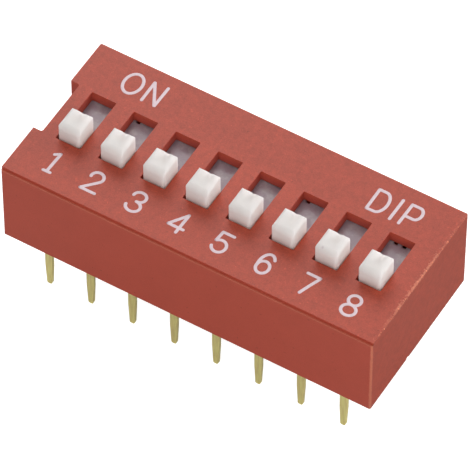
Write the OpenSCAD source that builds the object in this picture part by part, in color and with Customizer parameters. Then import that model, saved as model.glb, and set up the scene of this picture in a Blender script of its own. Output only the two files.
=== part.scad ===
/* [Positions] */
// Spacing of neighbouring switches
pitch = 2.54; // [2.4:0.01:3.2]
// Distance between the two rows of pins
row_gap = 7.62; // [6.8:0.01:8.4]

/* [Cover] */
// Width of the body from the number side to the ON side
body_w = 9.72; // [9.2:0.02:10.6]
// Thickness of the top plate
top_t = 0.65; // [0.4:0.01:1]
// Wall left behind the index notch, and its match at the other end
end_wall = 0.505; // [0.3:0.005:1.2]
// Radius on the four upright edges
edge_r = 0.1; // [0.05:0.01:0.3]
// Width of the step along the top edge on the number side
step_w = 0.12; // [0.05:0.01:0.3]
// Depth of that step
step_d = 0.15; // [0.05:0.01:0.3]

/* [Index notch] */
// Length of the notch along the end face
notch_l = 3.64; // [2:0.02:5]
// Depth of the notch into the end face
notch_depth = 0.53; // [0.3:0.01:0.8]
// Fillet in the inner corners of the notch
notch_r = 0.12; // [0.05:0.01:0.25]
// Offset of the notch towards the ON side
notch_shift = 0.1; // [-0.5:0.01:0.5]

/* [Windows] */
// Gap between a knob and each side of its window
knob_side_gap = 0.06; // [0.05:0.01:0.2]
// Gap left between a knob and the end of its window at each stop
stop_gap = 0.06; // [0.02:0.01:0.2]
// Corner radius of a window
window_r = 0.06; // [0.02:0.01:0.15]
// Offset of the windows towards the ON side
window_shift = 0.05; // [-0.2:0.01:0.2]
// Width of cover that a slider's flange laps at each side of the window
side_lap = 0.26; // [0.15:0.01:0.35]

/* [Sliders] */
// Stroke of a slider from OFF to ON
travel = 2; // [1.4:0.02:2.2]
// Width of a knob at its foot, across the stroke
knob_w = 1.36; // [1.1:0.01:1.45]
// Length of a knob along the stroke
knob_l = 1.44; // [1.1:0.02:1.6]
// Height of the knob's ridges above the cover
knob_h = 1.09; // [0.6:0.01:1.6]
// Draft that each side of a knob loses from foot to top
knob_draft = 0.03; // [0:0.01:0.06]
// Radius on the upright edges of a knob
knob_r = 0.2; // [0.08:0.01:0.3]
// Radius of the knob's nose, at the top on the number side
nose_r = 0.42; // [0.15:0.01:0.5]
// Radius of the knob's tail, at the top on the ON side
tail_r = 0.26; // [0.06:0.01:0.35]
// Radius of the knob's two long top edges, outside the ridges
rim_r = 0.21; // [0.08:0.01:0.25]
// Depth of the thumb groove at the ON side
groove_d = 0.23; // [0.1:0.01:0.3]
// Length over which the groove runs out towards the numbers
groove_run = 1.3; // [0.8:0.05:2]
// Thickness of a slider's flange
flange_t = 0.5; // [0.3:0.01:0.8]
// Lap of the flange beyond the far end of the window
flange_lap = 0.05; // [0.02:0.01:0.3]
// Corner radius of the flange
flange_r = 0.15; // [0.05:0.01:0.3]
// Reach of that collar past the knob
collar_reach = 0.26; // [0.1:0.01:0.3]
// Play left between that collar and the plate
collar_play = 0.01; // [0.005:0.005:0.015]
// Thickness of the two cheeks under a flange
cheek_t = 0.28; // [0.2:0.01:0.35]
// Play between a cheek and the base
cheek_play = 0.1; // [0.05:0.01:0.2]
// Side play of a slider in its bay
slide_gap = 0.05; // [0.04:0.01:0.1]
// Lean of every slider towards the plain end, within that play
lean = 0.03; // [0:0.005:0.03]
// Play between a flange and the plate above it
lift_gap = 0.03; // [0.02:0.01:0.08]
// Play between a slider's end and the side wall at each stop
wall_gap = 0.13; // [0.05:0.01:0.4]
// Width of a relief notch in the rear edge of a flange
relief_w = 0.24; // [0.1:0.01:0.3]
// Depth of a relief notch past the edge of the window
relief_d = 0.1; // [0.03:0.01:0.2]

/* [Base and seal] */
// Height of the seal's underside above the seating plane
seal_lift = 0.15; // [0.05:0.01:0.5]
// Thickness of the seal under the base
seal_t = 0.3; // [0.15:0.01:0.6]
// Thickness of the base
base_t = 1.37; // [1:0.01:2]
// Play between the base and the cover
fit_gap = 0.03; // [0.01:0.01:0.05]
// Base left outside each row of pins
edge_lap = 0.05; // [0.03:0.01:0.3]

/* [Contacts and pins] */
// Height of the contact bridge's space, floor to flange
spring_room = 2.41; // [1.8:0.01:3]
// Thickness of the contact bridge
bridge_t = 0.12; // [0.08:0.01:0.2]
// Width of the contact bridge
bridge_w = 0.86; // [0.6:0.01:1]
// Distance between the two feet of a bridge
foot_span = 1.9; // [1.6:0.02:2.4]
// Outer radius of a foot
foot_r = 0.26; // [0.22:0.01:0.35]
// Angle at which a foot's curl ends
foot_tip_a = 325; // [300:5:340]
// Play between a foot and the pad under it
foot_play = 0.01; // [0.005:0.005:0.03]
// Length of the bridge's flat crown
crown_l = 0.8; // [0.6:0.02:1]
// Height of the crown's underside above the floor
crown_lift = 1.45; // [1.1:0.01:1.7]
// Radius of the stake that holds the bridge
stake_r = 0.17; // [0.1:0.01:0.22]
// Play between the stake and the bridge
stake_gap = 0.03; // [0.01:0.01:0.05]
// Radius of the stake's formed head
head_r = 0.28; // [0.25:0.01:0.35]
// Thickness of the stake's formed head
head_t = 0.14; // [0.08:0.01:0.25]
// Thickness of a terminal
pin_t = 0.22; // [0.15:0.01:0.3]
// Width of a pin
pin_w = 0.43; // [0.3:0.01:0.6]
// Width of a pin at its tip
tip_w = 0.29; // [0.2:0.01:0.3]
// Length of the taper above the tip
taper_l = 1.5; // [0.5:0.05:2]
// Bevel on the two corners of the tip
tip_bevel = 0.06; // [0.02:0.01:0.1]
// Length of a pin below the seating plane
pin_l = 3.88; // [2.5:0.02:4.5]
// Width of a contact pad
pad_w = 1.2; // [0.9:0.01:1.4]
// Width of the gap between the two pads of a switch
pad_gap = 0.8; // [0.4:0.02:1.1]
// Outer radius of the bend between pad and pin
bend_r = 0.34; // [0.3:0.01:0.5]
// Height of a terminal's shoulder above the base's underside
shoulder_lift = 0.5; // [0.3:0.01:0.7]
// Play round a terminal in the base
slot_gap = 0.01; // [0.01:0.005:0.03]

/* [Rim nick] */
// Place of the nick along the rim of the plain end
nick_y = -1.05; // [-2:0.05:2]
// Width of the nick
nick_w = 0.22; // [0.1:0.01:0.5]
// Height of the nick
nick_h = 0.1; // [0.04:0.01:0.2]

/* [Hidden] */
$fn = 32;

positions = 8;
cut = 1; // overrun of a cut past a face
foot_step_a = 14; // largest turn between two points of a foot's curl
rim_steps = 4; // points round one long top edge of a knob
groove_steps = 10; // points across the thumb groove
groove_stations = 8; // sections along a knob
// relief notches in each slider's flange, as offsets from its middle
RELIEFS = [[], [-0.5], [], [], [], [-0.5], [], [-0.42, 0.08]];

window_w = knob_w + 2 * knob_side_gap;
window_l = knob_l + travel + 2 * stop_gap;
flange_w = window_w + 2 * side_lap;
flange_l = window_l + travel + 2 * flange_lap;
bay_w = flange_w + 2 * slide_gap;
off_y = window_shift - travel / 2;
on_y = window_shift + travel / 2;

slider_reach = abs(window_shift) + travel / 2 + flange_l / 2 + wall_gap;
pin_reach = row_gap / 2 + pin_t / 2 + slot_gap + edge_lap + fit_gap;
cavity_l = (positions - 1) * pitch + bay_w;
cavity_w = 2 * max(slider_reach, pin_reach);
body_l = cavity_l + 2 * (end_wall + notch_depth);

base_z = seal_lift + seal_t;
floor_z = base_z + base_t;
flange_z = floor_z + spring_room;
plate_z = flange_z + flange_t + lift_gap;
body_h = plate_z + top_t;
knob_top_z = body_h + knob_h;
shoulder_z = base_z + shoulder_lift;
crown_z = floor_z + crown_lift;

// half the distance between the two ridges of a knob
ridge_x = knob_w / 2 - knob_draft - rim_r;

// inner ends of a switch's two pads, each measured outwards on its own side
off_pad_y = pad_gap / 2 - on_y;
on_pad_y = pad_gap / 2 + on_y;

function switch_x(i) = (i - (positions + 1) / 2) * pitch;
function reversed(p) = [for (i = [len(p) - 1:-1:0]) p[i]];

// a rectangle with round corners, centred on the origin
module round_rect(l, w, r) {
    square([l - 2 * r, w], center = true);
    square([l, w - 2 * r], center = true);
    for (x = [-1, 1], y = [-1, 1])
        translate([x * (l / 2 - r), y * (w / 2 - r)]) circle(r);
}

// a profile drawn in Y and Z, given a width along X
module along_x(w) {
    rotate([90, 0, 90]) linear_extrude(w, center = true) children();
}

// a profile drawn in X and Z, given a length along Y
module along_y(l) {
    rotate([90, 0, 0]) linear_extrude(l, center = true) children();
}

// a block by its two extremes in each direction
module block(x, y, z) {
    translate([x[0], y[0], z[0]]) cube([x[1] - x[0], y[1] - y[0], z[1] - z[0]]);
}

// ---- cover ----

module body_outline() {
    difference() {
        round_rect(body_l, body_w, edge_r);
        translate([-body_l / 2 - notch_l / 2 + notch_depth, notch_shift])
            round_rect(notch_l, notch_l, notch_r);
    }
}

// room for one slider, under the top plate and between two ribs
module bay(i) {
    translate([switch_x(i), 0, floor_z])
        block([-bay_w / 2, bay_w / 2], [-cavity_w / 2, cavity_w / 2], [0, plate_z - floor_z]);
}

module window(i) {
    translate([switch_x(i), window_shift, plate_z - cut])
        linear_extrude(top_t + 2 * cut) round_rect(window_w, window_l, window_r);
}

module cover() {
    color([0.7, 0.36, 0.3]) difference() {
        linear_extrude(body_h) body_outline();
        block([-cavity_l / 2, cavity_l / 2], [-cavity_w / 2, cavity_w / 2], [-cut, floor_z]);
        for (i = [1:positions]) {
            bay(i);
            window(i);
        }
        // step along the top edge on the number side
        block([-body_l, body_l], [-body_w, step_w - body_w / 2], [body_h - step_d, body_h + cut]);
        // nick in the rim of the plain end
        block([cavity_l / 2 - cut, body_l], [nick_y - nick_w / 2, nick_y + nick_w / 2],
              [-cut, nick_h]);
    }
}

// ---- base and seal ----

// the slot that a terminal's narrow pin passes through
module pin_slot(i, side, z) {
    translate([switch_x(i), side * row_gap / 2, 0])
        block([-pin_w / 2 - slot_gap, pin_w / 2 + slot_gap],
              [-pin_t / 2 - slot_gap, pin_t / 2 + slot_gap], z);
}

// the channel and pocket that a terminal's pad and shoulder lie in
module pad_pocket(i, side, inner_y) {
    half_w = pad_w / 2 + slot_gap;
    outer_y = row_gap / 2 + pin_t / 2 + slot_gap;
    translate([switch_x(i), 0, 0]) mirror([0, side < 0 ? 1 : 0, 0]) {
        block([-half_w, half_w], [inner_y - slot_gap, outer_y], [floor_z - pin_t, floor_z + cut]);
        block([-half_w, half_w], [outer_y - pin_t - 2 * slot_gap, outer_y],
              [shoulder_z, floor_z + cut]);
    }
}

module base() {
    half_l = cavity_l / 2 - fit_gap;
    half_w = cavity_w / 2 - fit_gap;
    color([0.13, 0.13, 0.14]) difference() {
        block([-half_l, half_l], [-half_w, half_w], [base_z, floor_z]);
        for (i = [1:positions]) {
            pad_pocket(i, -1, off_pad_y);
            pad_pocket(i, 1, on_pad_y);
            for (side = [-1, 1])
                pin_slot(i, side, [base_z - cut, shoulder_z]);
        }
    }
}

module seal() {
    half_l = cavity_l / 2 - fit_gap;
    half_w = cavity_w / 2 - fit_gap;
    color([0.09, 0.09, 0.1]) difference() {
        block([-half_l, half_l], [-half_w, half_w], [seal_lift, base_z]);
        for (i = [1:positions], side = [-1, 1])
            pin_slot(i, side, [seal_lift - cut, base_z + cut]);
    }
}

// ---- terminals ----

// pad, bend and upright of the strip, seen along X, with the pin on the +Y side
module strip_profile(inner_y) {
    outer_y = row_gap / 2 + pin_t / 2;
    bend_y = outer_y - bend_r;
    bend_z = floor_z - bend_r;
    translate([inner_y, floor_z - pin_t]) square([bend_y - inner_y, pin_t]);
    translate([outer_y - pin_t, shoulder_z]) square([pin_t, bend_z - shoulder_z]);
    translate([bend_y, bend_z]) intersection() {
        difference() {
            circle(bend_r);
            circle(bend_r - pin_t);
        }
        square(bend_r);
    }
}

// narrow pin with its tapered blunt tip, seen along Y
module pin_profile() {
    polygon([
        [-pin_w / 2, shoulder_z], [-pin_w / 2, taper_l - pin_l],
        [-tip_w / 2, tip_bevel - pin_l], [tip_bevel - tip_w / 2, -pin_l],
        [tip_w / 2 - tip_bevel, -pin_l], [tip_w / 2, tip_bevel - pin_l],
        [pin_w / 2, taper_l - pin_l], [pin_w / 2, shoulder_z]]);
}

module terminal(i, side, inner_y) {
    color([0.74, 0.65, 0.36])
        translate([switch_x(i), 0, 0]) mirror([0, side < 0 ? 1 : 0, 0]) {
            along_x(pad_w) strip_profile(inner_y);
            translate([0, row_gap / 2, 0]) along_y(pin_t) pin_profile();
        }
}

// ---- contact bridges ----

function unit(a, b) = (b - a) / norm(b - a);
function left_of(v) = [-v[1], v[0]];

// offset of the ribbon's edge at one point of its path, mitred at a corner
function mitre(p, i) =
    let (last = len(p) - 1,
         before = unit(p[max(i - 1, 0)], p[max(i, 1)]),
         after = unit(p[min(i, last - 1)], p[min(i + 1, last)]))
    (left_of(before) + left_of(after)) / (1 + before * after);

function ribbon(p, t) = concat(
    [for (i = [0:len(p) - 1]) p[i] + mitre(p, i) * t / 2],
    [for (i = [len(p) - 1:-1:0]) p[i] - mitre(p, i) * t / 2]);

// half of the bridge's middle line: crown end, slanting leg, curled foot
function half_path() =
    let (r = foot_r - bridge_t / 2,
         c = [foot_span / 2, floor_z + foot_play + foot_r],
         e = [crown_l / 2, crown_z + bridge_t / 2],
         away = e - c,
         start_a = atan2(away[1], away[0]) + acos(r / norm(away)),
         steps = ceil((foot_tip_a - start_a) / foot_step_a))
    concat([e], [for (k = [0:steps])
        let (a = start_a + (foot_tip_a - start_a) * k / steps) c + r * [cos(a), sin(a)]]);

module contact(i) {
    half = half_path();
    path = concat([for (q = reversed(half)) [-q[0], q[1]]], half);
    color([0.83, 0.68, 0.3]) translate([switch_x(i) + lean, off_y, 0]) difference() {
        along_x(bridge_w) polygon(ribbon(path, bridge_t));
        translate([0, 0, crown_z - cut]) cylinder(r = stake_r + stake_gap, h = bridge_t + 2 * cut);
    }
}

// ---- sliders ----

// depth of the thumb groove at one place along the stroke, running out smoothly
function groove_depth(y) =
    let (share = min(1, (knob_l / 2 - y) / groove_run)) groove_d * (1 + cos(180 * share)) / 2;

// section across the stroke, from the knob's top down: drafted sides, a round edge at each
// side, and a smooth hollow between the two ridges
function knob_section(depth) =
    let (foot = knob_w / 2, low = flange_z - knob_top_z - cut)
    concat([[-foot, low], [foot, low], [foot, -knob_h]],
        [for (k = [0:rim_steps]) let (a = 90 * k / rim_steps)
            [ridge_x + rim_r * cos(a), rim_r * (sin(a) - 1)]],
        [for (k = [1:groove_steps - 1]) let (x = ridge_x * (1 - 2 * k / groove_steps))
            [x, -depth * (1 + cos(180 * x / ridge_x)) / 2]],
        [for (k = [rim_steps:-1:0]) let (a = 90 * k / rim_steps)
            [-ridge_x - rim_r * cos(a), rim_r * (sin(a) - 1)]],
        [[-foot, -knob_h]]);

// a loft through sections in X and Z, one at each place along Y
module loft_y(places, sections) {
    n = len(sections[0]);
    last = len(places) - 1;
    ring = [for (i = [0:n - 1]) i];
    polyhedron(
        points = [for (j = [0:last]) for (q = sections[j]) [q[0], places[j], q[1]]],
        faces = concat([reversed(ring)],
            [for (j = [0:last - 1]) for (i = ring) let (a = j * n + i, b = j * n + (i + 1) % n)
                each [[a, b, b + n], [a, b + n, a + n]]],
            [[for (i = ring) last * n + i]]));
}

// section along the stroke: a full nose towards the numbers and a tight tail
module knob_side() {
    half = knob_l / 2;
    hull() {
        translate([-half, flange_z]) square([knob_l, body_h - flange_z]);
        translate([nose_r - half, knob_top_z - nose_r]) circle(nose_r);
        translate([half - tail_r, knob_top_z - tail_r]) circle(tail_r);
    }
}

module knob() {
    places = [for (j = [0:groove_stations]) knob_l * (j / groove_stations - 0.5)];
    intersection() {
        translate([0, 0, flange_z]) linear_extrude(knob_top_z - flange_z)
            round_rect(knob_w, knob_l, knob_r);
        along_x(knob_w) knob_side();
        translate([0, 0, knob_top_z])
            loft_y(places, [for (y = places) knob_section(groove_depth(y))]);
    }
}

module flange(reliefs) {
    difference() {
        translate([0, 0, flange_z]) linear_extrude(flange_t) round_rect(flange_w, flange_l, flange_r);
        for (x = reliefs)
            block([x - relief_w / 2, x + relief_w / 2],
                  [flange_l / 2 - flange_lap - relief_d, flange_l], [flange_z - cut, plate_z + cut]);
    }
    translate([0, 0, flange_z]) linear_extrude(flange_t + lift_gap - collar_play)
        round_rect(knob_w + 2 * collar_reach, knob_l + 2 * collar_reach, collar_reach + knob_r);
}

// boss, stake and formed head that hold the bridge's crown
module bridge_stake() {
    translate([0, 0, crown_z - head_t]) cylinder(r = head_r, h = head_t);
    translate([0, 0, crown_z - head_t]) cylinder(r = stake_r, h = flange_z - crown_z + head_t);
    half = crown_l / 2 - bridge_t;
    block([-bridge_w / 2, bridge_w / 2], [-half, half], [crown_z + bridge_t, flange_z]);
}

module cheeks() {
    half_l = foot_span / 2 + foot_r;
    outer_x = flange_w / 2;
    for (side = [0, 1]) mirror([side, 0, 0])
        block([outer_x - cheek_t, outer_x], [-half_l, half_l], [floor_z + cheek_play, flange_z]);
}

module slider(i) {
    color([0.9, 0.89, 0.87]) translate([switch_x(i) + lean, off_y, 0]) {
        knob();
        flange(RELIEFS[i - 1]);
        bridge_stake();
        cheeks();
    }
}

cover();
base();
seal();
slider(1);  // slider_1
slider(2);  // slider_2
slider(3);  // slider_3
slider(4);  // slider_4
slider(5);  // slider_5
slider(6);  // slider_6
slider(7);  // slider_7
slider(8);  // slider_8
contact(1);  // contact_1
contact(2);  // contact_2
contact(3);  // contact_3
contact(4);  // contact_4
contact(5);  // contact_5
contact(6);  // contact_6
contact(7);  // contact_7
contact(8);  // contact_8
terminal(1, -1, off_pad_y);  // terminal_off_1
terminal(2, -1, off_pad_y);  // terminal_off_2
terminal(3, -1, off_pad_y);  // terminal_off_3
terminal(4, -1, off_pad_y);  // terminal_off_4
terminal(5, -1, off_pad_y);  // terminal_off_5
terminal(6, -1, off_pad_y);  // terminal_off_6
terminal(7, -1, off_pad_y);  // terminal_off_7
terminal(8, -1, off_pad_y);  // terminal_off_8
terminal(1, 1, on_pad_y);  // terminal_on_1
terminal(2, 1, on_pad_y);  // terminal_on_2
terminal(3, 1, on_pad_y);  // terminal_on_3
terminal(4, 1, on_pad_y);  // terminal_on_4
terminal(5, 1, on_pad_y);  // terminal_on_5
terminal(6, 1, on_pad_y);  // terminal_on_6
terminal(7, 1, on_pad_y);  // terminal_on_7
terminal(8, 1, on_pad_y);  // terminal_on_8
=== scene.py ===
"""Dresses the packed parts of an eight-position slide switch bank and sets its stage."""

from math import ceil, cos, hypot, radians, sin

import bmesh
import bpy
from bpy.props import FloatProperty, FloatVectorProperty, IntProperty, PointerProperty
from mathutils import Matrix, Vector


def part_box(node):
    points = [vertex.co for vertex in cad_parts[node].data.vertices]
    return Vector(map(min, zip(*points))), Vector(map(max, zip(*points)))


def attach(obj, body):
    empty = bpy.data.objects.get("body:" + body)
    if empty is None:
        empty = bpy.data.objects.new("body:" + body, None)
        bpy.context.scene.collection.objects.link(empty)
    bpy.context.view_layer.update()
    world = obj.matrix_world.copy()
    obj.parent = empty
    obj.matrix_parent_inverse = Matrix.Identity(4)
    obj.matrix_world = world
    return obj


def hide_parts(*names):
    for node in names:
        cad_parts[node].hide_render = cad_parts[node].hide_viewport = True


bl_info = {
    "name": "Slide Switch Bank",
    "version": (1, 0, 0),
    "blender": (4, 5, 0),
    "location": "View3D > Sidebar > Switch Bank",
    "description": "Finishes, legends and stage of a bank of small slide switches",
    "category": "Add Mesh",
}

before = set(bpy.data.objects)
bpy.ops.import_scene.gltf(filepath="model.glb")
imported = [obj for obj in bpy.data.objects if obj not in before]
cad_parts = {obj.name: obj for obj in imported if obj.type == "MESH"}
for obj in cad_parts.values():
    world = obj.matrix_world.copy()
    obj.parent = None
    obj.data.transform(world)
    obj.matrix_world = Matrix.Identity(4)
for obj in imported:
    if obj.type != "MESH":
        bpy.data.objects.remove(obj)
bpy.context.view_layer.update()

MM = 0.001
POSITIONS = range(1, 9)

COVER_LOW, COVER_HIGH = (Vector(corner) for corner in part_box("cover"))
PIN_LOW = Vector(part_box("terminal_off_1")[0])
TOP = COVER_HIGH.z
END_X = COVER_HIGH.x
FRONT_Y = COVER_LOW.y
# Depth of the step along the top edge, and depth and offset of the index notch.
STEP_DEPTH = 0.15 * MM
NOTCH_DEPTH = 0.53 * MM
NOTCH_Y = 0.1 * MM
LEDGE_Z = TOP - STEP_DEPTH
NOTCH_X = COVER_LOW.x + NOTCH_DEPTH
KNOB_7 = Vector(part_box("slider_7")[0]).lerp(Vector(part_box("slider_7")[1]), 0.5)


# ---- sizes and colours ----

class CoverLook(bpy.types.PropertyGroup):
    """The red moulding"""
    colour: FloatVectorProperty(
        name="Plastic", description="Colour of the moulded cover", subtype="COLOR",
        default=(0.412, 0.061, 0.034), min=0, max=1)
    # This pale colour is also used for the painted highlights on the front corner and the outer
    # edge of the step.
    pale_colour: FloatVectorProperty(
        name="Rubbed plastic", description="Colour where the plastic is rubbed or torn",
        subtype="COLOR", default=(0.68, 0.23, 0.13), min=0, max=1)
    # Painted bounce light on the walls of the index notch, which light each other.
    notch_bounce_colour: FloatVectorProperty(
        name="Notch colour", description="Colour of the walls of the index notch",
        subtype="COLOR", default=(0.48, 0.066, 0.034), min=0, max=1)
    # Painted shade: the top takes a darker copy of the red than the sides, to suit how the light
    # falls on it.
    top_shade_colour: FloatVectorProperty(
        name="Chalky plastic", description="Colour that the top plate tends to",
        subtype="COLOR", default=(0.358, 0.050, 0.024), min=0, max=1)
    # Painted shade: the plain end takes a darker copy of the red than the sides, to suit how the
    # light falls on it.
    end_shade_colour: FloatVectorProperty(
        name="Dull plastic", description="Colour of the plain end",
        subtype="COLOR", default=(0.314, 0.044, 0.020), min=0, max=1)
    edge: FloatProperty(
        name="Edge softness", description="Radius that the mould leaves on sharp edges",
        default=0.05 * MM, min=0.005 * MM, max=0.08 * MM, unit="LENGTH", precision=6)
    grain: FloatProperty(
        name="Grain", description="Size of the mould's fine grain",
        default=0.06 * MM, min=0.02 * MM, max=0.5 * MM, unit="LENGTH", precision=6)
    roughness: FloatProperty(
        name="Roughness", description="Roughness of the moulded surface",
        default=0.5, min=0, max=1, subtype="FACTOR")
    burr_spacing: FloatProperty(
        name="Burr spacing", description="Distance between the places where a burr may stand",
        default=0.09 * MM, min=0.03 * MM, max=1 * MM, unit="LENGTH", precision=6)
    burr_size: FloatProperty(
        name="Burr size", description="Radius of the largest burr",
        default=0.055 * MM, min=0.01 * MM, max=0.1 * MM, unit="LENGTH", precision=6)


class SliderLook(bpy.types.PropertyGroup):
    """The white sliders"""
    colour: FloatVectorProperty(
        name="Plastic", description="Colour of the sliders", subtype="COLOR",
        default=(0.67, 0.645, 0.625), min=0, max=1)
    # Painted shade of the flange deep in the window; also the colour of the grey speck.
    shade_and_speck_colour: FloatVectorProperty(
        name="Flange", description="Colour of the greyed flange under the windows",
        subtype="COLOR", default=(0.41, 0.32, 0.365), min=0, max=1)
    foot_colour: FloatVectorProperty(
        name="Foot", description="Colour of a knob's foot, where the red cover shines in it",
        subtype="COLOR", default=(0.62, 0.42, 0.36), min=0, max=1)
    speck: FloatVectorProperty(
        name="Speck", description="Place of the grey speck from the middle of slider 7", size=2,
        default=(-0.27 * MM, -0.54 * MM), unit="LENGTH", precision=6)
    edge: FloatProperty(
        name="Edge softness", description="Radius left on the sliders' sharp edges",
        default=0.02 * MM, min=0.005 * MM, max=0.06 * MM, unit="LENGTH", precision=6)
    roughness: FloatProperty(
        name="Roughness", description="Roughness of the sliders",
        default=0.6, min=0, max=1, subtype="FACTOR")
    flange_roughness: FloatProperty(
        name="Flange roughness", description="Roughness of the flange in the window",
        default=0.28, min=0, max=1, subtype="FACTOR")


class MetalLook(bpy.types.PropertyGroup):
    """Pins and contact bridges"""
    pin_colour: FloatVectorProperty(
        name="Pins", description="Colour of the plated pins", subtype="COLOR",
        default=(1.0, 0.84, 0.34), min=0, max=1)
    bridge_colour: FloatVectorProperty(
        name="Bridges", description="Colour of the contact bridges", subtype="COLOR",
        default=(0.75, 0.56, 0.25), min=0, max=1)
    edge: FloatProperty(
        name="Edge softness", description="Radius left on the pins' edges",
        default=0.015 * MM, min=0.005 * MM, max=0.06 * MM, unit="LENGTH", precision=6)
    roughness: FloatProperty(
        name="Roughness", description="Roughness of the plating",
        default=0.3, min=0, max=1, subtype="FACTOR")


class InsideLook(bpy.types.PropertyGroup):
    """Base and seal"""
    base_colour: FloatVectorProperty(
        name="Base", description="Colour of the base", subtype="COLOR",
        default=(0.014, 0.014, 0.015), min=0, max=1)
    seal_colour: FloatVectorProperty(
        name="Seal", description="Colour of the resin", subtype="COLOR",
        default=(0.008, 0.008, 0.009), min=0, max=1)


class LegendLook(bpy.types.PropertyGroup):
    """Printed figures and words"""
    colour: FloatVectorProperty(
        name="Ink", description="Colour of the ink", subtype="COLOR",
        default=(0.72, 0.58, 0.62), min=0, max=1)
    stroke: FloatProperty(
        name="Stroke", description="Width of a printed stroke",
        default=0.176 * MM, min=0.1 * MM, max=0.3 * MM, unit="LENGTH", precision=6)
    thickness: FloatProperty(
        name="Ink thickness", description="Height of the ink above the cover",
        default=0.012 * MM, min=0.005 * MM, max=0.03 * MM, unit="LENGTH", precision=6)
    sides: IntProperty(
        name="Sides", description="Facets round a stroke", default=16, min=8, max=32)


class StageLook(bpy.types.PropertyGroup):
    """Floor, light and camera"""
    ambient: FloatProperty(
        name="Ambient", description="Strength of the light from all round",
        default=0.06, min=0, max=2)
    power: FloatProperty(
        name="Light", description="Power of all the soft lamps together",
        default=1.46, min=0, max=5)
    lamp_size: FloatProperty(
        name="Lamp size", description="Side of a soft lamp", default=0.2, min=0.01, max=1,
        unit="LENGTH")
    lamp_distance: FloatProperty(
        name="Lamp distance", description="Distance of the lamps from the part", default=0.3,
        min=0.1, max=2, unit="LENGTH")
    azimuth: FloatProperty(
        name="Azimuth", description="Direction of the camera round the part",
        default=radians(-59.109), subtype="ANGLE")
    elevation: FloatProperty(
        name="Elevation", description="Height of the camera above the horizon",
        default=radians(51.846), subtype="ANGLE")
    roll: FloatProperty(
        name="Roll", description="Turn of the camera about its own axis",
        default=radians(0.155), subtype="ANGLE")
    distance: FloatProperty(
        name="Distance", description="Distance of the camera", default=278.287 * MM,
        unit="LENGTH")
    aim: FloatVectorProperty(
        name="Aim", description="Point that the camera looks at", size=3,
        default=(-0.3896 * MM, 0.7896 * MM, 0.6612 * MM), subtype="TRANSLATION",
        unit="LENGTH", precision=6)
    lens: FloatProperty(name="Lens", description="Focal length in millimetres", default=412.37)


# Zones of the cover's finish: where each starts and where it is full, in millimetres from
# the middle. The last one is measured from the middle of the notch.
RIBS_ACROSS = (2.6, 1.4)
RIBS_ALONG = (10.4, 9.6)
# Along the length, the painted light between the windows is strongest in the middle.
RIB_LIGHT_ALONG = (6.5, 1.0)
NUMBER_SIDE = (-2.6, -3.4)
TORN_ACROSS = (3.6, 1.2)
TORN_MIDDLE = -0.4
NOTCH_ACROSS = (1.9, 1.85)
# Zones of a slider's finish, in millimetres above the cover's top.
KNOB_FOOT = (0.5, -0.1)
KNOB_CROWN = (0.6, 0.8)
FLANGE_DEPTH = (-0.3, -0.6)
# Ends of the row of burrs along the plain end's top edge, in millimetres, and how far the
# row lies in from the end face and below the top.
BURR_ROW = (-4.4, 4.5)
BURR_INSET = 0.03
BURR_DROP = 0.02
BURR_SEED = 4
# Share of the places that stay bare, and least and greatest shift, turn and scale of a burr.
BARE_SHARE = 0.45
BURR_SHIFT = ((-0.03 * MM, 0, -0.02 * MM), (0.01 * MM, 0, 0.0))
BURR_TURN = ((-3, -3, -3), (3, 3, 3))
BURR_SCALE = ((0.3, 0.4, 0.25), (1.0, 1.4, 0.7))
# Degrees between the points of an arc, and the gap in millimetres that a closed stroke has.
ARC_STEP = 12
CLOSED_GAP = 0.001
# Half the side of the floor in metres, and its distance under the pins.
FLOOR_HALF = 1.5
FLOOR_DROP = 0.001 * MM
# Colour of the floor, of the floor in a shiny surface, and of its own glow.
PAPER = (0.8, 0.8, 0.8)
MIRRORED_PAPER = (0.36, 0.36, 0.36)
PAPER_GLOW = (0.75, 0.75, 0.75)
# Share of the glow and of the backdrop that a shiny surface mirrors.
MIRRORED_GLOW = 0.05
MIRRORED_SKY = 0.55
SENSOR_WIDTH = 36
NEAR_CLIP = 0.01
FAR_CLIP = 10
# Bearing and height of each soft lamp in degrees, and its share of the light.
LAMPS = {
    "back": (120, 35, 0.27),
    "back_left": (150, 30, 0.06),
    "back_high": (135, 50, 0.09),
    "back_right": (45, 20, 0.35),
    "right": (0, 20, 0.075),
    "front_right": (315, 20, 0.23),
    "front": (270, 50, 0.25)}


# ---- shader trees ----

class Wire:
    """An output socket that can be used in sums."""

    def __init__(self, tree, socket):
        self.tree, self.socket = tree, socket

    def _sum(self, operation, *values):
        """The wire of a Math node with the given values."""
        return self.tree.add("ShaderNodeMath", {"operation": operation}, dict(enumerate(values)))

    def __add__(self, other):
        return self._sum("ADD", self, other)

    def __sub__(self, other):
        return self._sum("SUBTRACT", self, other)

    def __rsub__(self, other):
        return self._sum("SUBTRACT", other, self)

    def __mul__(self, other):
        return self._sum("MULTIPLY", self, other)

    def __pow__(self, other):
        return self._sum("POWER", self, other)

    def __abs__(self):
        return self._sum("ABSOLUTE", self)

    def most(self, other):
        """The greater of two values."""
        return self._sum("MAXIMUM", self, other)

    __radd__ = __add__
    __rmul__ = __mul__


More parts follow.
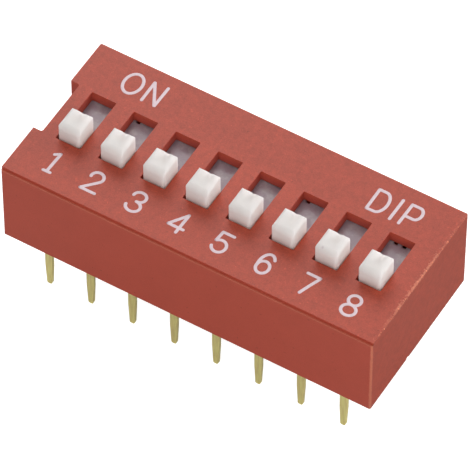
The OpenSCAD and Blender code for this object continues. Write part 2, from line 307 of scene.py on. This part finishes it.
class Tree:
    """A node tree under construction."""

    def __init__(self, owner):
        owner.use_nodes = True
        self.nodes, self.links = owner.node_tree.nodes, owner.node_tree.links
        self.nodes.clear()

    def add(self, kind, settings=None, sockets=None, output=0):
        """A new node with its settings and socket values, as the wire of one of its outputs."""
        node = self.nodes.new(kind)
        for name, value in (settings or {}).items():
            setattr(node, name, value)
        for key, value in (sockets or {}).items():
            if isinstance(value, Wire):
                self.links.new(value.socket, node.inputs[key])
            else:
                node.inputs[key].default_value = value
        return Wire(self, node.outputs[output]) if len(node.outputs) else None

    def place(self):
        """Object coordinates in millimetres, as a vector and as three wires."""
        point = self.add("ShaderNodeTexCoord", output="Object")
        scaled = self.shade(point, 1 / MM)
        split = [self.add("ShaderNodeSeparateXYZ", {}, {0: scaled}, axis) for axis in "XYZ"]
        return scaled, split

    def noise(self, point, scale, detail, roughness=0.55):
        """Noise of a scale in cycles a millimetre, centred on one half."""
        return self.add("ShaderNodeTexNoise", {}, {
            "Vector": point, "Scale": scale, "Detail": detail, "Roughness": roughness})

    @staticmethod
    def reach(a, a_line, b, b_line):
        """Distance in millimetres from a straight edge, by its two coordinates in metres."""
        return ((a - a_line / MM) ** 2 + (b - b_line / MM) ** 2) ** 0.5

    def rise(self, value, low, high):
        """0 below low and 1 above high, with a smooth rise between them; high may be the lower."""
        return self.add("ShaderNodeMapRange", {"interpolation_type": "SMOOTHSTEP"}, {
            "Value": value, "From Min": low, "From Max": high})

    def colours(self, mask, first, second):
        """A colour that goes from first to second with the mask."""
        return self.add("ShaderNodeMix", {"data_type": "RGBA"}, {
            0: mask, 6: self.colour(first), 7: self.colour(second)}, output=2)

    def shade(self, colour, factor):
        """A colour made lighter or darker by a factor, or any vector scaled by it."""
        return self.add("ShaderNodeVectorMath", {"operation": "SCALE"}, {
            0: colour, "Scale": factor})

    @staticmethod
    def colour(value):
        """A wire as it is, or a plain colour with its fourth channel."""
        return value if isinstance(value, Wire) else (*value[:3], 1)

    def bump(self, height, distance, strength):
        """The normal of a surface with a height map, of which 1 stands for the distance."""
        return self.add("ShaderNodeBump", {}, {
            "Height": height, "Distance": distance, "Strength": strength}, output="Normal")

    def surface(self, **sockets):
        """The Principled surface with its sockets named in words_with_underscores."""
        named = {key.replace("_", " "): value for key, value in sockets.items()}
        shader = self.add("ShaderNodeBsdfPrincipled", {}, named)
        self.add("ShaderNodeOutputMaterial", {}, {"Surface": shader})


def finish(name):
    """A new material and the tree to fill."""
    material = bpy.data.materials.new(name)
    return material, Tree(material)


def tinted(colour, share):
    """A colour made lighter or darker by a share."""
    return tuple(min(1.0, channel * (1 + share)) for channel in colour)


def cover_plastic(look):
    """Brick-red moulded plastic, mottled, finely grained and worn along the plain end's top edge.
    Painted shade darkens the top and the plain end; painted light lifts the top between the windows
    and the walls of the notch; painted highlights line the front corner and the step.
    """
    material, tree = finish("cover_plastic")
    point, (x, y, z) = tree.place()
    upper = tree.rise(z, TOP / MM - 0.05, TOP / MM - 0.01)
    plain_end = tree.rise(x, END_X / MM - 0.07, END_X / MM - 0.03)
    # painted shade: the plain end and the top take darker copies of the red than the sides, to suit
    # how the light falls on them
    body = tree.colours(plain_end, look.colour, look.end_shade_colour)
    body = tree.colours(upper, body, look.top_shade_colour)
    # painted light: the top is lighter between the windows, most of all in the middle, and along
    # the number side
    ribs = tree.rise(abs(y), *RIBS_ACROSS) * tree.rise(abs(x), *RIBS_ALONG)
    painted_light = ribs * (tree.rise(abs(x), *RIB_LIGHT_ALONG) * 0.09 + 0.03)
    painted_light = painted_light + tree.rise(y, *NUMBER_SIDE) * 0.045
    # painted bounce light: the walls of the index notch are a lighter, cleaner red, as they light
    # each other
    notch = tree.rise(x, NOTCH_X / MM + 0.1, NOTCH_X / MM + 0.06)
    notch = notch * tree.rise(abs(y - NOTCH_Y / MM), *NOTCH_ACROSS) * (1.0 - upper)
    body = tree.colours(notch, body, look.notch_bounce_colour)
    # mottling, brushed scratches and fine grain, all stronger on the top and the plain end
    cloud = (tree.noise(point, 0.7, 4) - 0.5) * 0.12
    mottle = (tree.noise(point, 3.4, 4, 0.8) - 0.5) * (upper.most(plain_end) * 0.75 + 0.15)
    brushed = tree.add("ShaderNodeMapping", {}, {"Vector": point, "Scale": (5.0, 0.8, 2.0)})
    scratch = tree.rise(tree.noise(brushed, 1.0, 5, 0.7), 0.58, 0.75) * (upper * 0.14 + 0.04)
    grain = tree.noise(point, MM / look.grain, 2)
    dust = tree.rise(tree.noise(point, 6.0, 1), 0.7, 0.76) * upper * 0.3
    pits = tree.rise(tree.noise(point, 5.5, 2), 0.3, 0.24) * 0.35
    tone = cloud + mottle + scratch + dust - pits + upper * painted_light + 1.0
    body = tree.shade(body, tone + (grain - 0.5) * (upper * 0.35 + 0.35))
    ragged = tree.noise(point, 5.0, 3) - 0.5
    # the plain end's top edge is torn and worn, most of all in its middle
    middle = tree.rise(abs(y - TORN_MIDDLE), *TORN_ACROSS) * 0.5 + 0.1
    near_end = tree.reach(x, END_X, z, TOP)
    end_edge = tree.rise(near_end + ragged * 0.6, 0.12, 0.02) * middle
    flecks = tree.rise(tree.noise(point, 7.0, 1), 0.6, 0.68) * tree.rise(near_end, 0.3, 0.05)
    # painted highlights on its front corner and along the outer edge of the step
    corner = tree.rise(tree.reach(x, END_X, y, FRONT_Y) + ragged * 0.1, 0.14, 0.05) * 0.45
    ledge = tree.rise(tree.reach(y, FRONT_Y, z, LEDGE_Z) + ragged * 0.1, 0.12, 0.04) * 0.25
    # the worn end edge and flecks are joined here with the painted highlights of the corner and the
    # step
    rubbed_and_highlit = end_edge.most(corner).most(ledge).most(flecks * (middle + 0.15))
    body = tree.colours(rubbed_and_highlit, body, look.pale_colour)
    height = grain * 0.6 + ragged * rubbed_and_highlit * 2.0
    tree.surface(
        Base_Color=body, Roughness=look.roughness, Normal=tree.bump(height, 0.012 * MM, 0.5),
        Specular_IOR_Level=0.4)
    return material


def torn_plastic(look):
    """Paler plastic of the burrs."""
    material, tree = finish("torn_plastic")
    point, _ = tree.place()
    tone = tree.colours(tree.rise(tree.noise(point, 4.0, 2), 0.4, 0.6), look.colour,
                        tinted(look.pale_colour, 0.3))
    tree.surface(Base_Color=tone, Roughness=0.55, Specular_IOR_Level=0.2)
    return material


def slider_plastic(look):
    """Off-white moulded plastic, with a painted red reflection of the cover at the knob's foot and
    painted shade greying the flange in the window.
    """
    material, tree = finish("slider_plastic")
    point, (x, y, z) = tree.place()
    cloud = tree.rise(tree.noise(point, 1.4, 3), 0.3, 0.7)
    body = tree.colours(cloud, tinted(look.colour, -0.02), tinted(look.colour, 0.02))
    above = z - TOP / MM
    # painted reflection: the knob's foot is tinted by red light from the cover
    foot = tree.rise(above, *KNOB_FOOT)
    body = tree.colours(foot * 0.55, body, look.foot_colour)
    from_speck = tree.reach(x, KNOB_7.x + look.speck[0], y, KNOB_7.y + look.speck[1])
    speck = tree.rise(from_speck, 0.09, 0.03) * tree.rise(above, *KNOB_CROWN)
    body = tree.colours(speck * 0.35, body, look.shade_and_speck_colour)
    # painted shade: the flange below the cover is greyed where it lies deep in the window
    sunk = tree.rise(above, *FLANGE_DEPTH)
    body = tree.colours(sunk, body, look.shade_and_speck_colour)
    # the flange is smeared by its rubbing under the cover
    smear = tree.rise(tree.noise(point, 1.3, 5, 0.7), 0.46, 0.68)
    body = tree.colours(sunk * smear * 0.4, body, look.colour)
    tree.surface(
        Base_Color=body, Roughness=sunk * (look.flange_roughness - look.roughness) + look.roughness,
        Specular_IOR_Level=0.4, Subsurface_Weight=1.0,
        Subsurface_Radius=(1.0, 0.95, 0.92), Subsurface_Scale=1.3 * MM,
        Normal=tree.bump(tree.noise(point, 9.0, 2), 0.006 * MM, 0.4))
    return material


def plated(name, colour, look):
    """Dull gold plate with drawn streaks along the strip."""
    material, tree = finish(name)
    point, _ = tree.place()
    streaks = tree.add("ShaderNodeMapping", {}, {"Vector": point, "Scale": (9.0, 9.0, 0.9)})
    streak = tree.noise(streaks, 1.0, 3)
    tone = tree.colours(tree.rise(streak, 0.3, 0.7), tinted(colour, -0.12), tinted(colour, 0.08))
    tree.surface(
        Base_Color=tone, Metallic=0.6,
        Roughness=tree.rise(streak, 0.2, 0.9) * 0.15 + look.roughness,
        Normal=tree.bump(streak, 0.004 * MM, 0.4))
    return material


def black_plastic(name, colour, roughness, grain):
    """Black plastic or resin with a fine grain."""
    material, tree = finish(name)
    point, _ = tree.place()
    noise = tree.noise(point, grain, 3)
    tree.surface(
        Base_Color=tree.colours(noise, tinted(colour, -0.2), tinted(colour, 0.4)),
        Roughness=noise * 0.2 + roughness, Normal=tree.bump(noise, 0.01 * MM, 0.4))
    return material


def legend_ink(look):
    """Pale ink, a little thin in places."""
    material, tree = finish("legend_ink")
    point, _ = tree.place()
    thin = tree.rise(tree.noise(point, 6.0, 3), 0.25, 0.6)
    tree.surface(
        Base_Color=tree.colours(thin, tinted(look.colour, -0.1), look.colour), Roughness=0.5,
        Normal=tree.bump(tree.noise(point, 14.0, 2), 0.004 * MM, 0.4), Specular_IOR_Level=0.3)
    return material


# ---- pieces made from the packed parts ----

# Points nearer than this are one, flatter angles are joined, and sharper ones are rounded.
SAME_POINT = 0.0005 * MM
FLAT_ANGLE = radians(0.5)
SHARP_ANGLE = radians(32)
# How far a large face sets the shading of its edges: mostly flat, or softly curved.
FLAT_FORM = 100
CURVED_FORM = 60


def link(name, data):
    """A new object in the scene."""
    thing = bpy.data.objects.new(name, data)
    bpy.context.scene.collection.objects.link(thing)
    return thing


def dress(node, material):
    """Gives a packed part its finish."""
    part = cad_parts[node]
    part.data.materials.clear()
    part.data.materials.append(material)


def softened(name, node, body, material, radius, form=FLAT_FORM):
    """A copy of a packed part with its flat faces joined and its sharp edges rounded."""
    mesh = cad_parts[node].data.copy()
    mesh.name = name
    shape = bmesh.new()
    shape.from_mesh(mesh)
    bmesh.ops.remove_doubles(shape, verts=shape.verts, dist=SAME_POINT)
    bmesh.ops.dissolve_limit(
        shape, angle_limit=FLAT_ANGLE, verts=shape.verts, edges=shape.edges)
    shape.to_mesh(mesh)
    shape.free()
    mesh.materials.clear()
    mesh.materials.append(material)
    mesh.shade_smooth()
    piece = link(name, mesh)
    bevel = piece.modifiers.new("soft_edges", "BEVEL")
    bevel.width = radius
    bevel.segments = 2
    bevel.limit_method = "ANGLE"
    bevel.angle_limit = SHARP_ANGLE
    level = piece.modifiers.new("level_faces", "WEIGHTED_NORMAL")
    level.mode = "FACE_AREA"
    level.weight = form
    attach(piece, body)
    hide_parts(node)


class Maker:
    """A geometry node tree under construction, with one geometry output."""

    def __init__(self, name, **given):
        self.tree = bpy.data.node_groups.new(name, "GeometryNodeTree")
        for label, kind in given.items():
            self.tree.interface.new_socket(
                label, in_out="INPUT", socket_type="NodeSocket" + kind)
        self.tree.interface.new_socket(
            "Made", in_out="OUTPUT", socket_type="NodeSocketGeometry")
        self.given = self.tree.nodes.new("NodeGroupInput").outputs

    def add(self, kind, settings=None, sockets=None, output=0):
        """A new node with its settings and socket values, as one of its output sockets."""
        node = self.tree.nodes.new(kind)
        for name, value in (settings or {}).items():
            setattr(node, name, value)
        for key, value in (sockets or {}).items():
            if isinstance(value, bpy.types.NodeSocket):
                self.tree.links.new(value, node.inputs[key])
            else:
                node.inputs[key].default_value = value
        return node.outputs[output] if len(node.outputs) else None

    def join(self, *parts):
        """Several geometries as one."""
        node = self.tree.nodes.new("GeometryNodeJoinGeometry")
        for part in parts:
            self.tree.links.new(part, node.inputs[0])
        return node.outputs[0]

    def close(self, made, material):
        """Smooth shading, the material and the tree's output."""
        smooth = self.add("GeometryNodeSetShadeSmooth", {}, {"Geometry": made})
        finished = self.add("GeometryNodeSetMaterial", {}, {
            "Geometry": smooth, "Material": material})
        self.add("NodeGroupOutput", {}, {0: finished})
        return self.tree


# ---- legends and burrs ----

def arc(centre, radii, start, end):
    """Points of an elliptic arc, by its angles in degrees."""
    count = ceil(abs(end - start) / ARC_STEP)
    turns = (radians(start + (end - start) * k / count) for k in range(count + 1))
    return [(centre[0] + radii[0] * cos(a), centre[1] + radii[1] * sin(a)) for a in turns]


# Strokes of each legend on the cover, in millimetres.
LEGENDS = {
    "on": [
        arc((-8.11, 3.39), (0.50, 0.69), 0, 360),
        [(-7.18, 4.03), (-7.17, 2.69)],
        [(-7.17, 4.03), (-6.42, 2.69)],
        [(-6.40, 2.69), (-6.38, 4.05)]],
    "dip": [
        [(6.33, 2.53), (6.33, 3.92)],
        [(6.33, 3.92)] + arc((6.76, 3.23), (0.41, 0.69), 90, -90) + [(6.33, 2.53)],
        [(7.71, 3.92), (7.69, 2.53)],
        [(8.22, 2.53), (8.25, 3.92)],
        [(8.25, 3.92)] + arc((8.73, 3.51), (0.29, 0.41), 90, -90) + [(8.25, 3.10)]],
    "1": [
        [(-9.07, -2.69), (-8.80, -2.51)],
        [(-8.80, -2.51), (-8.85, -3.83)],
        [(-9.05, -3.83), (-8.65, -3.82)]],
    "2": [
        arc((-6.40, -2.85), (0.35, 0.33), 190, -38) + [(-6.84, -3.82)],
        [(-6.84, -3.82), (-5.98, -3.82)]],
    "3": [
        arc((-3.87, -2.83), (0.36, 0.32), 180, -90),
        arc((-3.88, -3.49), (0.40, 0.34), 90, -175)],
    "4": [
        [(-1.10, -2.54), (-1.77, -3.50)],
        [(-1.77, -3.50), (-0.89, -3.50)],
        [(-1.10, -2.54), (-1.14, -3.81)]],
    "5": [
        [(0.93, -2.55), (1.58, -2.55)],
        [(0.93, -2.55), (0.87, -3.17)],
        [(0.87, -3.17)] + arc((1.19, -3.44), (0.385, 0.40), 125, -160)],
    "6": [
        arc((3.80, -3.20), (0.39, 0.65), 38, 200),
        arc((3.77, -3.46), (0.35, 0.40), 0, 360)],
    "7": [
        [(5.93, -2.60), (6.66, -2.60)],
        [(6.66, -2.60), (6.42, -3.20), (6.17, -3.88)]],
    "8": [
        arc((8.83, -2.90), (0.335, 0.32), 0, 360),
        arc((8.83, -3.57), (0.395, 0.35), 0, 360)],
}


def ink_tree(material):
    """Turns strokes into flattened ribbons of ink with round ends."""
    maker = Maker("ink_strokes", Strokes="Geometry", Stroke="Float", Thickness="Float",
                  Height="Float", Sides="Int")
    given, add = maker.given, maker.add
    half = add("ShaderNodeMath", {"operation": "MULTIPLY"}, {0: given["Stroke"], 1: 0.5})
    flat = add("ShaderNodeMath", {"operation": "DIVIDE"}, {0: given["Thickness"], 1: half})
    ring = add("GeometryNodeCurvePrimitiveCircle", {}, {
        "Resolution": given["Sides"], "Radius": half})
    tube = add("GeometryNodeCurveToMesh", {}, {"Curve": given["Strokes"], "Profile Curve": ring})
    ball = add("GeometryNodeMeshUVSphere", {}, {
        "Segments": given["Sides"], "Rings": 6, "Radius": half})
    ends = add("FunctionNodeBooleanMath", {"operation": "NIMPLY"}, {
        0: add("GeometryNodeCurveEndpointSelection"), 1: add("GeometryNodeInputSplineCyclic")})
    caps = add("GeometryNodeInstanceOnPoints", {}, {
        "Points": given["Strokes"], "Selection": ends, "Instance": ball})
    real = add("GeometryNodeRealizeInstances", {}, {0: maker.join(tube, caps)})
    laid = add("GeometryNodeTransform", {}, {
        "Geometry": real,
        "Translation": add("ShaderNodeCombineXYZ", {}, {"Z": given["Height"]}),
        "Scale": add("ShaderNodeCombineXYZ", {}, {"X": 1.0, "Y": 1.0, "Z": flat})})
    return maker.close(laid, material)


def crumb_tree(material):
    """Scatters small burrs along an edge."""
    maker = Maker("edge_crumbs", Edge="Geometry", Spacing="Float", Size="Float", Seed="Int")
    given, add = maker.given, maker.add
    row = add("GeometryNodeResampleCurve", {"mode": "LENGTH"}, {
        "Curve": given["Edge"], "Length": given["Spacing"]})
    points = add("GeometryNodeCurveToPoints", {"mode": "EVALUATED"}, {"Curve": row})
    kept = add("GeometryNodeDeleteGeometry", {"domain": "POINT"}, {
        0: points, "Selection": add("FunctionNodeRandomValue", {"data_type": "BOOLEAN"}, {
            "Probability": BARE_SHARE, "Seed": given["Seed"]}, 3)})
    drift = add("FunctionNodeRandomValue", {"data_type": "FLOAT_VECTOR"}, {
        "Min": BURR_SHIFT[0], "Max": BURR_SHIFT[1], "Seed": given["Seed"]})
    moved = add("GeometryNodeSetPosition", {}, {"Geometry": kept, "Offset": drift})
    crumb = add("GeometryNodeMeshIcoSphere", {}, {"Radius": given["Size"], "Subdivisions": 2})
    turn = add("FunctionNodeRandomValue", {"data_type": "FLOAT_VECTOR"}, {
        "Min": BURR_TURN[0], "Max": BURR_TURN[1], "Seed": given["Seed"]})
    scale = add("FunctionNodeRandomValue", {"data_type": "FLOAT_VECTOR"}, {
        "Min": BURR_SCALE[0], "Max": BURR_SCALE[1], "Seed": given["Seed"]})
    crumbs = add("GeometryNodeInstanceOnPoints", {}, {
        "Points": moved, "Instance": crumb, "Rotation": turn, "Scale": scale})
    return maker.close(add("GeometryNodeRealizeInstances", {}, {0: crumbs}), material)


def drawn(name, strokes, height, tree, values):
    """A plain mesh that a node tree makes from strokes, given in millimetres."""
    paths = bpy.data.curves.new(name + "_paths", "CURVE")
    paths.dimensions = "3D"
    for stroke in strokes:
        (x_first, y_first), (x_last, y_last) = stroke[0], stroke[-1]
        closed = hypot(x_first - x_last, y_first - y_last) < CLOSED_GAP
        points = stroke[:-1] if closed else stroke
        spline = paths.splines.new("POLY")
        spline.points.add(len(points) - 1)
        spline.use_cyclic_u = closed
        for place, (x, y) in zip(spline.points, points):
            place.co = (x * MM, y * MM, height, 1)
    holder = link(name + "_strokes", paths)
    maker = holder.modifiers.new("maker", "NODES")
    maker.node_group = tree
    for item in tree.interface.items_tree:
        if item.item_type == "SOCKET" and item.name in values:
            maker[item.identifier] = values[item.name]
    graph = bpy.context.evaluated_depsgraph_get()
    mesh = bpy.data.meshes.new_from_object(holder.evaluated_get(graph), depsgraph=graph)
    mesh.name = name
    bpy.data.objects.remove(holder)
    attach(link(name, mesh), "housing")


# ---- operators ----

class SWITCH_OT_cover(bpy.types.Operator):
    """Dress the cover in its moulded plastic"""
    bl_idname = "switch_bank.cover"
    bl_label = "Cover"

    def execute(self, context):
        look = context.scene.switch_cover
        softened("cover_moulding", "cover", "housing", cover_plastic(look), look.edge)
        return {"FINISHED"}


class SWITCH_OT_sliders(bpy.types.Operator):
    """Dress the sliders in white plastic"""
    bl_idname = "switch_bank.sliders"
    bl_label = "Sliders"

    def execute(self, context):
        look = context.scene.switch_sliders
        material = slider_plastic(look)
        for k in POSITIONS:
            softened(f"slider_moulding_{k}", f"slider_{k}", f"switch_{k}", material, look.edge,
                     CURVED_FORM)
        return {"FINISHED"}


class SWITCH_OT_metal(bpy.types.Operator):
    """Plate the pins and the contact bridges"""
    bl_idname = "switch_bank.metal"
    bl_label = "Pins and bridges"

    def execute(self, context):
        look = context.scene.switch_metal
        pins = plated("terminal_metal", look.pin_colour, look)
        bridges = plated("contact_metal", look.bridge_colour, look)
        for k in POSITIONS:
            for side in ("off", "on"):
                softened(f"pin_{side}_{k}", f"terminal_{side}_{k}", "housing", pins, look.edge)
            dress(f"contact_{k}", bridges)
        return {"FINISHED"}


class SWITCH_OT_inside(bpy.types.Operator):
    """Dress the base and the seal"""
    bl_idname = "switch_bank.inside"
    bl_label = "Base and seal"

    def execute(self, context):
        look = context.scene.switch_inside
        base = black_plastic("base_plastic", look.base_colour, roughness=0.45, grain=8.0)
        seal = black_plastic("seal_resin", look.seal_colour, roughness=0.2, grain=0.8)
        dress("base", base)
        dress("seal", seal)
        return {"FINISHED"}


class SWITCH_OT_legends(bpy.types.Operator):
    """Print the figures and the two words on the cover"""
    bl_idname = "switch_bank.legends"
    bl_label = "Legends"

    def execute(self, context):
        look = context.scene.switch_legends
        tree = ink_tree(legend_ink(look))
        values = {"Stroke": look.stroke, "Thickness": look.thickness, "Height": TOP,
                  "Sides": look.sides}
        for name, strokes in LEGENDS.items():
            drawn(f"legend_{name}", strokes, 0, tree, values)
        return {"FINISHED"}


class SWITCH_OT_burrs(bpy.types.Operator):
    """Roughen the top edge of the plain end with small burrs"""
    bl_idname = "switch_bank.burrs"
    bl_label = "Edge burrs"

    def execute(self, context):
        look = context.scene.switch_cover
        edge = [[(END_X / MM - BURR_INSET, y) for y in BURR_ROW]]
        values = {"Spacing": look.burr_spacing, "Size": look.burr_size, "Seed": BURR_SEED}
        drawn("edge_burrs", edge, TOP - BURR_DROP * MM, crumb_tree(torn_plastic(look)), values)
        return {"FINISHED"}


class SWITCH_OT_stage(bpy.types.Operator):
    """Lay the floor, light the part and place the camera"""
    bl_idname = "switch_bank.stage"
    bl_label = "Stage"

    def execute(self, context):
        look = context.scene.switch_stage
        scene = context.scene
        scene.view_settings.view_transform = "Standard"
        lay_floor()
        light_world(scene, look)
        for name, lamp in LAMPS.items():
            hang_lamp(look, name, *lamp)
        place_camera(scene, look)
        return {"FINISHED"}


def lay_floor():
    """A white floor under the pins that keeps a faint shadow."""
    level = PIN_LOW.z - FLOOR_DROP
    mesh = bpy.data.meshes.new("floor")
    corners = [(-1, -1), (1, -1), (1, 1), (-1, 1)]
    mesh.from_pydata(
        [(x * FLOOR_HALF, y * FLOOR_HALF, level) for x, y in corners], [], [(0, 1, 2, 3)])
    floor = link("floor", mesh)
    material, tree = finish("floor_paper")
    seen = tree.add("ShaderNodeLightPath", output="Is Camera Ray")
    mirrored = tree.add("ShaderNodeLightPath", output="Is Glossy Ray")
    glow = tree.colours(seen.most(mirrored * MIRRORED_GLOW), (0, 0, 0), PAPER_GLOW)
    paper = tree.colours(mirrored, PAPER, MIRRORED_PAPER)
    tree.surface(
        Base_Color=paper, Roughness=0.9, Specular_IOR_Level=0.0,
        Emission_Color=glow, Emission_Strength=1.0)
    mesh.materials.append(material)


def light_world(scene, look):
    """Even white light, and a white backdrop."""
    scene.world = scene.world or bpy.data.worlds.new("studio")
    tree = Tree(scene.world)
    seen = tree.add("ShaderNodeLightPath", output="Is Camera Ray")
    mirrored = tree.add("ShaderNodeLightPath", output="Is Glossy Ray")
    strength = seen.most(mirrored * MIRRORED_SKY).most(look.ambient)
    shader = tree.add("ShaderNodeBackground", {}, {"Color": (1, 1, 1, 1), "Strength": strength})
    tree.add("ShaderNodeOutputWorld", {}, {"Surface": shader})


def towards(azimuth, elevation):
    """The direction of a bearing round the part and a height above the horizon."""
    return Vector((cos(elevation) * cos(azimuth), cos(elevation) * sin(azimuth), sin(elevation)))


def hang_lamp(look, name, azimuth, elevation, share):
    """A soft square lamp that points at the part."""
    lamp = bpy.data.lights.new(name, "AREA")
    lamp.energy = look.power * share
    lamp.size = look.lamp_size
    holder = link(name, lamp)
    place = towards(radians(azimuth), radians(elevation)) * look.lamp_distance
    holder.matrix_world = Matrix.Translation(place) @ (
        place.to_track_quat("Z", "Y").to_matrix().to_4x4())


def place_camera(scene, look):
    """A long lens at the given direction, distance and roll."""
    camera = bpy.data.cameras.new("camera")
    camera.sensor_fit = "HORIZONTAL"
    camera.sensor_width = SENSOR_WIDTH
    camera.lens = look.lens
    camera.clip_start = NEAR_CLIP
    camera.clip_end = FAR_CLIP
    back = towards(look.azimuth, look.elevation)
    right = Vector((0, 0, 1)).cross(back).normalized()
    up = back.cross(right)
    right, up = (right * cos(look.roll) + up * sin(look.roll),
                 up * cos(look.roll) - right * sin(look.roll))
    place = Vector(look.aim) + back * look.distance
    turn = Matrix((right, up, back)).transposed().to_4x4()
    holder = link("camera", camera)
    holder.matrix_world = Matrix.Translation(place) @ turn
    scene.camera = holder


PIECES = (SWITCH_OT_cover, SWITCH_OT_sliders, SWITCH_OT_metal, SWITCH_OT_inside,
          SWITCH_OT_legends, SWITCH_OT_burrs, SWITCH_OT_stage)
LOOKS = {
    "switch_cover": CoverLook, "switch_sliders": SliderLook, "switch_metal": MetalLook,
    "switch_inside": InsideLook, "switch_legends": LegendLook, "switch_stage": StageLook}


class SWITCH_PT_bank(bpy.types.Panel):
    """Sizes, colours and steps of the switch bank"""
    bl_idname = "SWITCH_PT_bank"
    bl_label = "Switch Bank"
    bl_space_type = "VIEW_3D"
    bl_region_type = "UI"
    bl_category = "Switch Bank"

    def draw(self, context):
        for name, group in LOOKS.items():
            box = self.layout.box()
            box.label(text=group.__doc__)
            for prop in group.__annotations__:
                box.prop(getattr(context.scene, name), prop)
        for piece in PIECES:
            self.layout.operator(piece.bl_idname)


def register():
    for group in LOOKS.values():
        bpy.utils.register_class(group)
    for name, group in LOOKS.items():
        setattr(bpy.types.Scene, name, PointerProperty(type=group))
    for piece in PIECES + (SWITCH_PT_bank,):
        bpy.utils.register_class(piece)


def unregister():
    for piece in (SWITCH_PT_bank,) + PIECES[::-1]:
        bpy.utils.unregister_class(piece)
    for name, group in LOOKS.items():
        delattr(bpy.types.Scene, name)
        bpy.utils.unregister_class(group)


def main():
    """Registers the add-on and makes every piece."""
    register()
    for piece in PIECES:
        group, step = piece.bl_idname.split(".")
        getattr(getattr(bpy.ops, group), step)()


if __name__ == "__main__":
    main()
